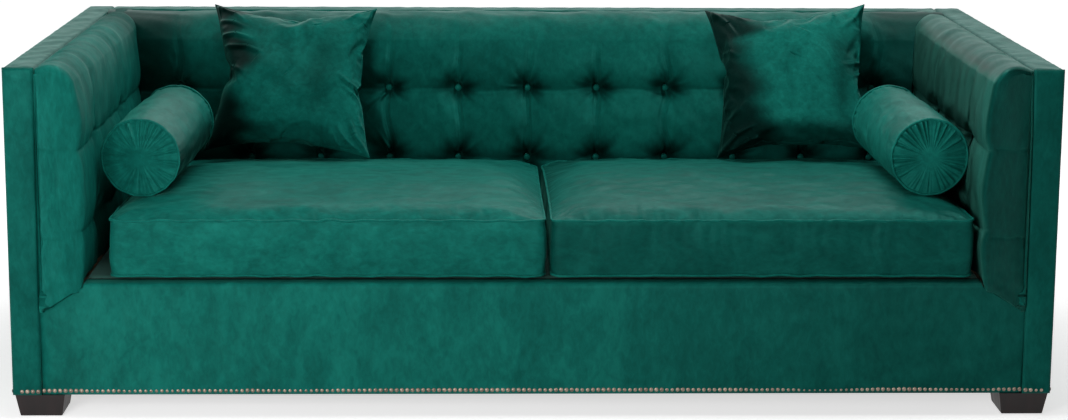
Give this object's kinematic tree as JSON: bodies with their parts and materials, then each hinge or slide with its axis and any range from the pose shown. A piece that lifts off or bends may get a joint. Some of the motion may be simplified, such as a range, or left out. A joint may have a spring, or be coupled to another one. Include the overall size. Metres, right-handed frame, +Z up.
{
  "type": "chesterfield sofa",
  "caption": "Long upholstered sofa with level square arms and back, button-tufted inside, loose seat cushions, throw pillows and round bolsters, on short block legs.",
  "frame": {"origin": "on the floor, under the middle of the sofa's box", "axes": "+X along the sofa, to the right as seen from the front; +Y to the back; +Z up; the front faces -Y"},
  "size_m": [2.254, 1.04, 0.8054],
  "materials": {
    "velvet": "satin",
    "frame_wood": "matte",
    "plywood": "matte",
    "leg_wood": "satin",
    "steel": "satin",
    "nail_brass": "satin",
    "foam": "matte",
    "webbing": "matte",
    "deck_cloth": "matte",
    "cambric": "matte",
    "glide_plastic": "matte"
  },
  "bodies": {
    "frame": {"arm_back_post_left": "frame_wood", "arm_back_post_right": "frame_wood", "arm_front_panel_left": "velvet", "arm_front_panel_right": "velvet", "arm_front_post_left": "frame_wood", "arm_front_post_right": "frame_wood", "arm_tack_rails": "frame_wood", "arm_top_band_left": "velvet", "arm_top_band_right": "velvet", "arm_top_rail_left": "frame_wood", "arm_top_rail_right": "frame_wood", "back_rail": "frame_wood", "back_top_band": "velvet", "back_top_rail": "frame_wood", "back_uprights": "frame_wood", "back_webbing": "webbing", "centre_cross_rail": "frame_wood", "corner_blocks": "frame_wood", "deck_pad": "deck_cloth", "dust_cover": "cambric", "front_apron": "velvet", "front_rail": "frame_wood", "inside_arm_boards": "plywood", "inside_arm_pad_left": "velvet", "inside_arm_pad_right": "velvet", "inside_back": "velvet", "leg_bolts": "steel", "leg_front_left": "leg_wood", "leg_front_right": "leg_wood", "leg_glides": "glide_plastic", "leg_plates": "steel", "leg_rear_left": "leg_wood", "leg_rear_right": "leg_wood", "nailheads": "nail_brass", "outside_arm_left": "velvet", "outside_arm_right": "velvet", "outside_back": "velvet", "rear_seat_rail": "frame_wood", "seat_springs": "steel", "side_rail_left": "frame_wood", "side_rail_right": "frame_wood", "spring_clips": "steel", "tuft_buttons": "velvet"},
    "seat_left": {"seat_left_cover": "velvet", "seat_left_core": "foam", "seat_left_welts_and_zip": "velvet"},
    "pillow_left": {"pillow_left_cover": "velvet", "pillow_left_filling": "foam"},
    "bolster_left": {"bolster_left_cover": "velvet", "bolster_left_filling": "foam"},
    "zip_left": {"zip_slider_left": "steel"},
    "seat_right": {"seat_right_cover": "velvet", "seat_right_core": "foam", "seat_right_welts_and_zip": "velvet"},
    "pillow_right": {"pillow_right_cover": "velvet", "pillow_right_filling": "foam"},
    "bolster_right": {"bolster_right_cover": "velvet", "bolster_right_filling": "foam"},
    "zip_right": {"zip_slider_right": "steel"}
  },
  "joints": [
    {"name": "seat_left_lift", "type": "slide", "parent": "frame", "child": "seat_left", "axis": [0, 0, 1], "range_m": [0, 0.5]},
    {"name": "pillow_left_lift", "type": "slide", "parent": "seat_left", "child": "pillow_left", "axis": [0, 0, 1], "range_m": [0, 0.4]},
    {"name": "bolster_left_lift", "type": "slide", "parent": "seat_left", "child": "bolster_left", "axis": [0.1483, 0, 0.9889], "range_m": [0, 0.35]},
    {"name": "zip_left_run", "type": "slide", "parent": "seat_left", "child": "zip_left", "axis": [1, 0, 0], "range_m": [0, 0.67]},
    {"name": "seat_right_lift", "type": "slide", "parent": "frame", "child": "seat_right", "axis": [0, 0, 1], "range_m": [0, 0.5]},
    {"name": "pillow_right_lift", "type": "slide", "parent": "seat_right", "child": "pillow_right", "axis": [0, 0, 1], "range_m": [0, 0.4]},
    {"name": "bolster_right_lift", "type": "slide", "parent": "seat_right", "child": "bolster_right", "axis": [-0.1483, 0, 0.9889], "range_m": [0, 0.35]},
    {"name": "zip_right_run", "type": "slide", "parent": "seat_right", "child": "zip_right", "axis": [1, 0, 0], "range_m": [0, 0.67]}
  ]
}
